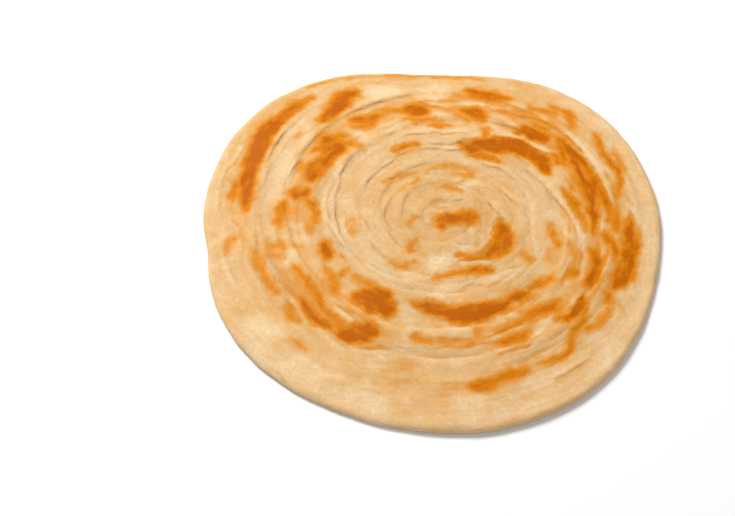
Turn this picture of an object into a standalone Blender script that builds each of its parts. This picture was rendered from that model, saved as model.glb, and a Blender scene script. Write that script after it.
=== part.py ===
"""A coiled, flaky paratha: one round flatbread, rolled out from a pleated rope of dough wound into a spiral.

The bread is a single solid. Its blank is a half section turned about Z. Functions then make the hand-rolled rim
uneven, raise the lip of every turn of the coil, swell the steam pockets and curl the edge up where a real bread
lifts off the table. Lengths are in metres, with +Z up. The bread lies on z = 0, and the origin is under the middle
of its bounding box. Angles are in degrees, anticlockwise from +X seen from above, about the coil's centre.
"""

import math

import bmesh
import bpy

MM = 0.001

# The plain round bread.
MEAN_RADIUS = 92.2 * MM
CRUMB_HEIGHT = 5.2 * MM  # top of the dough in the middle, between the lips of the coil
EDGE_HEIGHT = 3.0 * MM  # the same where the rim starts to roll over
EDGE_FROM = 0.60  # share of the radius where the top starts to fall from one to the other
WIDEST_HEIGHT = 1.3 * MM  # height at which the rim reaches furthest out
RIM_ROLL = 2.6 * MM  # how far in from the rim the roll of the top starts
FOOT_ROLL = 1.8 * MM  # how far in from the rim the underside becomes flat

# The rim as rolled by hand: angle, angular width and amount of each bulge or flat.
RIM_SHAPES = (
    (91.0, 21.4, -5.9 * MM),
    (138.0, 35.0, 5.5 * MM),
    (45.0, 34.0, 4.6 * MM),
    (188.0, 8.0, -2.2 * MM),
    (222.0, 13.0, 1.1 * MM),
    (293.0, 30.0, 4.0 * MM),
    (344.0, 18.0, -1.6 * MM),
)
COIL_CENTRE = (3.5 * MM, 5.0 * MM)  # the coil's centre, from the middle of the plain round bread

# The seams between the coil's turns wind inwards, anticlockwise: the angle where each starts, and its radius in mm
# there and after every quarter turn. The first starts at the rope's outer end, the second at a fold of its pleats.
SEAMS = (
    (128.0, (81, 71, 67, 71, 69, 57, 53, 47, 38, 31, 28, 31, 29, 22, 20, 21, 19, 13, 11, 13, 10, 6, 4)),
    (34.0, (61, 50, 39, 37)),
)
QUARTER = 90.0
LIP_HEIGHT = 1.1 * MM  # how far the outer turn's lip stands above the turn inside it
LIP_RISE = 1.5 * MM  # half the distance over which the lip rises
LIP_FALL = 8.0 * MM  # how far outwards the lip has sunk back into its turn
LIP_GROOVE = 0.5 * MM  # depth of the crease at the lip's foot
LIP_FADE = 24.0  # angle over which a lip grows at one end of its seam and fades at the other
LIP_WAVE = 0.3  # share by which a lip's height comes and goes
LIP_WAVES = 1.7  # how often it does so in a turn

# Steam pockets that swell the top: angle, distance from the coil's centre, size and rise.
POCKETS = (
    (10.0, 63.0 * MM, 12.0 * MM, 0.7 * MM),
    (150.0, 84.0 * MM, 10.0 * MM, 0.5 * MM),
    (150.0, 57.0 * MM, 12.0 * MM, 0.6 * MM),
    (235.0, 48.0 * MM, 11.0 * MM, 0.7 * MM),
    (282.0, 46.0 * MM, 10.0 * MM, 0.5 * MM),
    (58.0, 45.0 * MM, 11.0 * MM, 0.6 * MM),
    (8.0, 8.0 * MM, 9.0 * MM, 0.6 * MM),
)

# Where the edge curls up off the table: angle, angular width and rise at the rim.
CURLS = (
    (150.0, 36.0, 2.0 * MM),
    (30.0, 30.0, 1.0 * MM),
    (285.0, 32.0, 0.6 * MM),
)
CURL_FROM = 0.62  # share of the radius inside which the bread lies flat

# Facets.
SECTORS = 72
TOP_RINGS = 54
ROLL_STEPS = 3
FOOT_STEPS = 2
UNDER_RINGS = 4

DOUGH_COLOUR = (0.80, 0.42, 0.15, 1.0)
DOUGH_ROUGHNESS = 0.55


def smooth_step(share):
    """0 to 1 with no kink at either end."""
    share = min(1.0, max(0.0, share))
    return share * share * (3.0 - 2.0 * share)


def bell(degrees, centre, width):
    """1 in the centre direction, falling smoothly to 0 on both sides."""
    away = (degrees - centre + 180.0) % 360.0 - 180.0
    return math.exp(-((away / width) ** 2))


def rim_distance(degrees):
    """Distance from the coil's centre to the rim."""
    angle = math.radians(degrees)
    along = COIL_CENTRE[0] * math.cos(angle) + COIL_CENTRE[1] * math.sin(angle)
    across = COIL_CENTRE[1] * math.cos(angle) - COIL_CENTRE[0] * math.sin(angle)
    plain = math.sqrt(MEAN_RADIUS**2 - across**2) - along
    return plain + sum(amount * bell(degrees, at, width) for at, width, amount in RIM_SHAPES)


def seam_radius(radii, winding):
    """Radius of a seam after it has wound through an angle from its start: smooth between the quarter turns."""
    place = winding / QUARTER
    first = min(int(place), len(radii) - 2)
    before, here, there, after = (radii[min(max(first + k, 0), len(radii) - 1)] for k in (-1, 0, 1, 2))
    t = place - first
    slope_here, slope_there = (there - before) / 2.0, (after - here) / 2.0
    bend = (2.0 * t**3 - 3.0 * t**2) * (here - there) + here
    return (bend + (t**3 - 2.0 * t**2 + t) * slope_here + (t**3 - t**2) * slope_there) * MM


def lip_section(away):
    """A lip's height for a distance outwards from its seam: a shallow crease, a quick rise and a slow fall."""
    crease = -LIP_GROOVE * math.exp(-(((away + LIP_RISE) / LIP_RISE) ** 2))
    rise = LIP_HEIGHT * smooth_step((away + LIP_RISE) / (2.0 * LIP_RISE))
    return crease + rise * math.exp(-max(away, 0.0) / LIP_FALL)


def coil_relief(radius, degrees):
    """Height that the lips of all the coil's turns add at a point."""
    relief = 0.0
    for start, radii in SEAMS:
        whole = QUARTER * (len(radii) - 1)
        winding = (degrees - start) % 360.0
        while winding < whole:
            strength = smooth_step(winding / LIP_FADE) * smooth_step((whole - winding) / LIP_FADE)
            strength *= 1.0 + LIP_WAVE * math.sin(math.radians(LIP_WAVES * winding))
            relief += strength * lip_section(radius - seam_radius(radii, winding))
            winding += 360.0
    return relief


def pocket_swell(x, y):
    """How far the steam pockets lift the top at a point."""
    swell = 0.0
    for at, distance, size, rise in POCKETS:
        angle = math.radians(at)
        away = math.hypot(x - distance * math.cos(angle), y - distance * math.sin(angle))
        swell += rise * math.exp(-((away / size) ** 2))
    return swell


def edge_curl(share, degrees):
    """How far the bread has curled up off the table at a point."""
    rise = sum(amount * bell(degrees, at, width) for at, width, amount in CURLS)
    return rise * smooth_step((share - CURL_FROM) / (1.0 - CURL_FROM))


def half_section():
    """Points of the plain bread's section, from the top's middle over the rim to the underside's middle."""
    roll_start = MEAN_RADIUS - RIM_ROLL
    flat_end = MEAN_RADIUS - FOOT_ROLL
    points = []
    for i in range(TOP_RINGS + 1):
        radius = roll_start * i / TOP_RINGS
        fall = smooth_step((radius / roll_start - EDGE_FROM) / (1.0 - EDGE_FROM))
        points.append((radius, CRUMB_HEIGHT - (CRUMB_HEIGHT - EDGE_HEIGHT) * fall))
    for i in range(1, ROLL_STEPS + 1):
        turn = math.radians(90.0 * i / ROLL_STEPS)
        height = WIDEST_HEIGHT + (EDGE_HEIGHT - WIDEST_HEIGHT) * math.cos(turn)
        points.append((roll_start + RIM_ROLL * math.sin(turn), height))
    for i in range(1, FOOT_STEPS + 1):
        turn = math.radians(90.0 * i / FOOT_STEPS)
        points.append((flat_end + FOOT_ROLL * math.cos(turn), WIDEST_HEIGHT * (1.0 - math.sin(turn))))
    points += [(flat_end * (1.0 - i / UNDER_RINGS), 0.0) for i in range(1, UNDER_RINGS + 1)]
    return points


def turned_blank():
    """The plain round bread, as a mesh turned from its half section."""
    points = half_section()
    section = bpy.data.meshes.new("half_section")
    section.from_pydata([(x, 0.0, z) for x, z in points], [(i, i + 1) for i in range(len(points) - 1)], [])
    blank = bpy.data.objects.new("blank", section)
    bpy.context.scene.collection.objects.link(blank)
    turn = blank.modifiers.new("turn", "SCREW")
    turn.axis = "Z"
    turn.steps = turn.render_steps = SECTORS
    turn.use_merge_vertices = True
    turn.merge_threshold = 0.00001
    bpy.context.view_layer.update()
    mesh = bpy.data.meshes.new_from_object(blank.evaluated_get(bpy.context.evaluated_depsgraph_get()))
    bpy.data.objects.remove(blank)
    return mesh


def shaped(point):
    """Where a point of the plain bread goes on the real one."""
    angle = math.atan2(point.y, point.x)
    degrees = math.degrees(angle) % 360.0
    share = math.hypot(point.x, point.y) / MEAN_RADIUS
    radius = share * rim_distance(degrees)
    x, y = radius * math.cos(angle), radius * math.sin(angle)
    depth = min(1.0, point.z / CRUMB_HEIGHT)
    relief = coil_relief(radius, degrees) + pocket_swell(x, y) if depth > 0.0 else 0.0
    return x, y, point.z + depth * relief + edge_curl(share, degrees)


def dough_material():
    """Toasted wheat dough, in one mean colour."""
    material = bpy.data.materials.new("toasted_dough")
    material.use_nodes = True
    surface = material.node_tree.nodes["Principled BSDF"]
    surface.inputs["Base Color"].default_value = DOUGH_COLOUR
    surface.inputs["Roughness"].default_value = DOUGH_ROUGHNESS
    surface.inputs["Metallic"].default_value = 0.0
    return material


def make_paratha(collection):
    """The bread, with its bounding box centred on the origin and its underside at z = 0."""
    mesh = turned_blank()
    mesh.name = "paratha"
    shape = bmesh.new()
    shape.from_mesh(mesh)
    for vertex in shape.verts:
        vertex.co = shaped(vertex.co)
    middle = [(min(v.co[k] for v in shape.verts) + max(v.co[k] for v in shape.verts)) / 2.0 for k in (0, 1)]
    bmesh.ops.translate(shape, verts=shape.verts, vec=(-middle[0], -middle[1], 0.0))
    shape.to_mesh(mesh)
    shape.free()
    mesh.shade_smooth()
    mesh.materials.append(dough_material())
    paratha = bpy.data.objects.new("paratha", mesh)
    collection.objects.link(paratha)
    return paratha


def main():
    for leftover in list(bpy.data.objects):
        bpy.data.objects.remove(leftover)
    bread = bpy.data.collections.new("paratha_flatbread")
    bpy.context.scene.collection.children.link(bread)
    make_paratha(bread)


main()
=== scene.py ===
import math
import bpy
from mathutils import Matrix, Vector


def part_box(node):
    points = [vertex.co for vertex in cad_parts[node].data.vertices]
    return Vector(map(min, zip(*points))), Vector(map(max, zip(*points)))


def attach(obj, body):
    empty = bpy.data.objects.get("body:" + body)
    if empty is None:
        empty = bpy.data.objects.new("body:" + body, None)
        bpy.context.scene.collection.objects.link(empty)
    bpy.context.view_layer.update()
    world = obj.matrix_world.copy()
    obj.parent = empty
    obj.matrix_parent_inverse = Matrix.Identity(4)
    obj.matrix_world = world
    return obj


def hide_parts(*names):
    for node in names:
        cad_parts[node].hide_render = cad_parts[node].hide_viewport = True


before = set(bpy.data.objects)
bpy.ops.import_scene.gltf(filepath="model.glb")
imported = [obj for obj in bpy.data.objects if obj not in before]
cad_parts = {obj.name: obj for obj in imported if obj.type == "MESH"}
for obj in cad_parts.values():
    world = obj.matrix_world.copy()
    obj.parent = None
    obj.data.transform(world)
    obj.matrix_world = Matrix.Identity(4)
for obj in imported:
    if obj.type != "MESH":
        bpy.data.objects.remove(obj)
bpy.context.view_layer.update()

# A coiled, flaky paratha, toasted on both sides, alone on a pale floor.
#
# The CAD solid gives the bread's outline, thickness and main lips. The piece made here has the same outline and the
# same coil, worked out from the same named sizes, with the thin flaky layers, the toasting and the oil added.
# Lengths are in millimetres until a mesh is made. Angles are in degrees, anticlockwise from +X seen from above,
# about the coil's centre.

from types import SimpleNamespace

import bpy
import numpy as np

MM = 0.001
FULL_TURN, QUARTER = 360.0, 90.0

# ---------------------------------------------------------------- sizes shared with the CAD source

MEAN_RADIUS = 92.2
CRUMB_HEIGHT = 5.2
EDGE_HEIGHT = 3.0
EDGE_FROM = 0.60
WIDEST_HEIGHT = 1.3
RIM_ROLL = 2.6
FOOT_ROLL = 1.8
RIM_SHAPES = (  # angle, angular width, amount
    (91.0, 21.4, -5.9),
    (138.0, 35.0, 5.5),
    (45.0, 34.0, 4.6),
    (188.0, 8.0, -2.2),
    (222.0, 13.0, 1.1),
    (293.0, 30.0, 4.0),
    (344.0, 18.0, -1.6),
)
COIL_CENTRE = (3.5, 5.0)
SEAMS = (
    (128.0, (81, 71, 67, 71, 69, 57, 53, 47, 38, 31, 28, 31, 29, 22, 20, 21, 19, 13, 11, 13, 10, 6, 4)),
    (34.0, (61, 50, 39, 37)),
)
POCKETS = (  # angle, distance, size, rise
    (10.0, 63.0, 12.0, 0.7),
    (150.0, 84.0, 10.0, 0.5),
    (150.0, 57.0, 12.0, 0.6),
    (235.0, 48.0, 11.0, 0.7),
    (282.0, 46.0, 10.0, 0.5),
    (58.0, 45.0, 11.0, 0.6),
    (8.0, 8.0, 9.0, 0.6),
)
CURLS = ((150.0, 36.0, 2.0), (30.0, 30.0, 1.0), (285.0, 32.0, 0.6))  # angle, angular width, rise
CURL_FROM = 0.62

# ---------------------------------------------------------------- the thin layers

# Torn edges of single layers: how strong each is, and under 0 where it steps down outwards, then its points, each
# an angle and a distance.
LEDGES = (
    # far left
    (
        0.35, (133, 81.3), (137.1, 80.4), (141, 79.5), (145.5, 79.5), (148.6, 78.6), (152.3, 78.2),
        (156.4, 77.6), (158.9, 77.3), (161.2, 76.8), (164, 76.3), (166.9, 75.9), (170.2, 75.5),
        (173.5, 75.2), (176.8, 74.7), (179.7, 74.3),
    ),
    (
        -0.6, (138.1, 71.2), (141.1, 71.3), (144, 70.8), (146.8, 69.7), (149.1, 67.6), (153.8, 67.4),
        (157.2, 67), (160.9, 66), (163, 65.4), (166.9, 65),
    ),
    (
        0.5, (154.4, 89.9), (156.8, 89.9), (159.9, 90.1), (162, 92.2), (165.2, 92), (168.7, 91.5),
        (172.3, 90.9), (175, 90.3), (177.4, 89.2),
    ),
    # far side
    (
        0.25, (104.4, 68), (107.2, 69.1), (110.3, 69.6), (113.5, 69.2), (116.7, 69), (119.6, 69.4),
        (122.7, 69.2), (125.5, 68.7), (128.2, 68.1), (130.9, 67.5), (133.2, 68.7),
    ),
    (0.5, (86, 61.2), (88.6, 62.1), (91.8, 63.2), (94.5, 64.4), (96.5, 66.7)),
    (0.5, (108.1, 55.6), (110.4, 54.8), (113.4, 54.5), (116, 55)),
    (0.5, (110.1, 51), (115.1, 50.2)),
    (
        0.65, (74.5, 47.6), (77.7, 48), (80.7, 47.9), (84, 47), (87.4, 46.5), (90.1, 47.9), (93.1, 47.8),
        (95.8, 47), (99.6, 47.2), (103.2, 48), (106.7, 48), (109.1, 47),
    ),
    (0.5, (77.1, 43.2), (80.2, 41.9), (84.4, 40.8), (89.7, 41), (94.8, 41.6)),
    (
        0.6, (75.8, 39.2), (82, 37.7), (86.8, 37.8), (91, 38.8), (97, 39), (103.5, 39.1), (109.9, 38.8),
        (116.2, 38.4), (122.5, 36.8), (128.8, 36.5), (135.4, 36.1), (140.9, 36.3), (145.6, 36.1),
        (149.8, 35.5),
    ),
    (-0.35, (120.5, 47), (123.7, 47.4), (128.3, 47), (132.1, 45.8)),
    (0.4, (62.8, 67.8), (65.3, 66.4), (68.3, 64.9), (70.9, 63.9)),
    # far right
    (
        0.8, (37.4, 58.7), (39.6, 57.3), (42.1, 56.1), (45, 55.3), (48.2, 55.4), (51.5, 54.8), (54.9, 53.8),
        (58.1, 52.5), (61, 50.8),
    ),
    (0.5, (37.1, 82), (40.1, 79.7)),
    (0.5, (29.1, 69.5), (31.6, 67.6), (34.1, 67.6), (37, 68.2)),
    # left
    (0.5, (156, 76.2), (158.9, 75.6), (161.7, 74.9), (165.1, 74.4)),
    (0.4, (145.2, 47.8), (150.1, 47.1), (154.8, 45.6)),
    (0.5, (165.2, 48), (170.4, 47.4), (174.9, 46.6), (180.3, 45.2)),
    (-0.8, (181.9, 45.2), (186.9, 43.9), (192.2, 42.7), (196.9, 41.7), (202, 40.7)),
    (0.6, (178.5, 38.3), (184.1, 38.7), (189.8, 38.2), (194, 37.2), (196.7, 35.8)),
    (0.45, (190.8, 88.3), (193.7, 88.1), (196.7, 88), (199.3, 87.6), (200.8, 87.1)),
    (0.4, (195, 73.3), (198.3, 72.6), (201.6, 72.1), (204.3, 71.9)),
    (0.6, (180.2, 83.6), (182.4, 80.6)),
    # round the knot
    (0.5, (180.5, 31), (186.4, 30.3), (193.9, 29.7)),
    (0.4, (148.6, 23.5), (156.8, 23.2), (166.8, 23.5), (176, 23.2), (185.5, 22), (194.9, 20.4)),
    (0.8, (3.7, 25), (15.6, 22.3), (24.6, 21.9)),
    (0.6, (17.2, 32), (22.3, 30.7), (28.3, 29.8), (35.2, 29.4)),
    (0.6, (35.3, 37.4), (42.4, 37.6), (49.3, 36.8), (53.5, 35.1), (59.2, 34.6)),
    (0.8, (287.3, 21.9), (295.8, 23.5), (303.8, 25.1), (310, 26.6)),
    (0.6, (291.6, 32.9), (297, 33.6), (303.5, 34.4), (310, 35.4), (316.4, 36.6), (321.6, 38.6)),
    (0.7, (218, 37), (224.2, 36.2), (231, 35.3), (237.5, 34.4), (243.8, 33.4), (248.6, 31.8)),
    (-0.5, (204, 29.8), (211.3, 29.3), (219.1, 28.7), (226.2, 27.6)),
    (0.5, (62.6, 7.3), (93.3, 6.5)),
    (0.9, (292.4, 13), (304.2, 16), (312.3, 17.1)),
    (0.4, (49.1, 14.7), (55.5, 12.6), (67.7, 10.5), (85.2, 10.4)),
    # right
    (
        0.5, (6, 69.5), (9.1, 69.4), (12.3, 69.5), (15.4, 69.4), (18.1, 69.5), (21.4, 69.5), (24.6, 69.9),
        (27.2, 70), (29.8, 69.9), (32.1, 70.1), (34.9, 70.6), (37.8, 70.9), (40.5, 70.8), (43, 70.6),
        (46.1, 69.9), (49.7, 70.2), (52.5, 69.4), (55.6, 68.2), (58.6, 66.7), (61.4, 64.8),
    ),
    (
        0.7, (350.1, 55.9), (355.7, 54), (359.7, 52.9), (363.9, 51.4), (366.9, 50.1), (370.8, 48.7),
        (374.1, 47.7), (378.2, 47.1), (383, 46.6), (388.2, 45.8), (393.2, 45.2), (397.6, 44.7),
    ),
    (0.6, (348.9, 50.1), (351.6, 49), (355.3, 48.4), (359.7, 47.9)),
    (0.5, (11.6, 82.7), (14.3, 82.6), (16.6, 82.2), (18.9, 82.3)),
    (0.7, (1.4, 79.1), (4.5, 76.9), (6.7, 75.3)),
    (0.6, (8.7, 78.5), (10.3, 77.6)),
    (0.5, (331.7, 61.1), (335.1, 60), (339.2, 58.9), (343.5, 58.1), (347.2, 57.4)),
    (0.3, (337.1, 74.4), (339.8, 73.3), (342.5, 73.8), (344.8, 74.9), (347, 76.1)),
    (0.6, (19.5, 63), (24.2, 63.4), (27.7, 64)),
    (0.6, (3.8, 61.5), (7.8, 62.8), (11, 64.1), (13.8, 64.4)),
    (0.4, (335.7, 40.2), (340.7, 38.5), (347.7, 36.5), (353.4, 35)),
    (0.5, (349.8, 36.6), (357.6, 36.3), (366.5, 36.5), (375.3, 37), (383.2, 37.5)),
    # near left
    (
        0.65, (228, 71.8), (231.5, 72.2), (235, 72.8), (237.6, 73.2), (239.8, 73), (243.9, 70.6),
        (246.7, 69), (249.6, 67.5), (252.7, 66.4), (255.2, 65.2),
    ),
    (0.7, (225.9, 60), (229.1, 59.9), (232.4, 60.3), (235.3, 60.7)),
    (0.6, (236.9, 87.8), (238.7, 86.3), (241.3, 84.5), (242.6, 83.9)),
    (0.5, (215.6, 92.8), (217.7, 92.3)),
    (0.7, (226.4, 98.7), (228.1, 98.1), (230.2, 98.4), (232.2, 98.8)),
    (-0.5, (212.4, 72.8), (215.2, 72.1), (217.8, 71.8), (219.8, 72.2)),
    (-0.4, (201.5, 89.2), (203.7, 86.9), (205.5, 86.4)),
    # near side
    (-0.6, (295.1, 36.7), (298.4, 37.4), (302.6, 37.6), (306.7, 38.1)),
    (0.8, (270.2, 58.9), (272.6, 59.6), (275, 59.9), (277.4, 60), (280.2, 59.6)),
    (
        0.5, (269.1, 63.1), (271.9, 63.3), (275.3, 63.8), (278.7, 64), (281.7, 63.1), (285.2, 63.1),
        (287.5, 63.2), (289.3, 63.2),
    ),
    (0.6, (285.1, 61.1), (288.3, 60.5), (291.7, 59.8), (294.9, 59.9), (298.8, 60.2), (300.9, 60.4)),
    (0.6, (287.4, 69.7), (290.4, 68.9), (293.2, 68.9), (296.5, 69.4)),
    (0.4, (256, 66), (258.8, 66.2), (261.5, 65.7), (263.5, 64.4)),
    # near right
    (-0.6, (314.7, 67.2), (316.6, 68.1), (319.9, 66.3), (322.8, 65.6), (325.7, 65.9)),
    (-0.6, (312.8, 72.3), (314.5, 72.7), (316.6, 72.7), (318.7, 72.9)),
    (0.6, (296.6, 70.5), (299.2, 69.4), (302, 68.5), (304.9, 67.8), (307.9, 67.2), (311.1, 67.5)),
    (0.5, (303, 71.8), (306, 71.8), (308.9, 71.8), (311.9, 71.3)),
    (-0.6, (299, 86.4), (302, 86.7), (304.1, 86.4), (306.3, 86.1), (308.9, 86.2)),
)
LIP_HEIGHT, LIP_RISE, LIP_FALL, LIP_GROOVE = 0.6, 1.2, 8.0, 0.12
LIP_FADE = 24.0
LIP_MOST = 1.1  # the strongest that a stretch of lip gets, as a share of its full height
LIP_LINE = 0.25  # how strong its painted shade and painted highlight lines are, as a share of a ledge's
LEDGE_HEIGHT, LEDGE_RISE, LEDGE_FALL, LEDGE_GROOVE = 0.28, 0.65, 3.0, 0.3
ROLLED_EDGE = 0.5  # how far a layer's rolled edge stands above it, as a share of the step
LEDGE_STRAY = 0.25  # how much of the seams' stray a ledge has
LEDGE_FADE = 4.0
OVERHANG = 0.45  # how far a lip leans over the crease at its foot
LAYER_SPACING = 4.2  # how far apart the edges of the thin layers are across the coil
LAYER_STRAY = 1.0  # how far they stray from even spacing, as a share of it
LAYER_STEP, LAYER_RISER = 0.18, 0.3  # how high a step is, and what share of a layer it takes up
WANDER = ((15.0, 1.3, 1), (6.0, 0.7, 3), (2.4, 0.3, 5))  # how seams stray: wave size, amount, seed
LOOSE_LAYERS, LOOSE_SEED = 50, 12  # short edges of layers that have come loose, scattered over the top
LOOSE_DISTANCES = (15.0, 84.0)
LOOSE_LENGTHS = (10.0, 34.0)
LOOSE_STEPS = (0.2, 0.55)

# ---------------------------------------------------------------- the toasting

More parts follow.
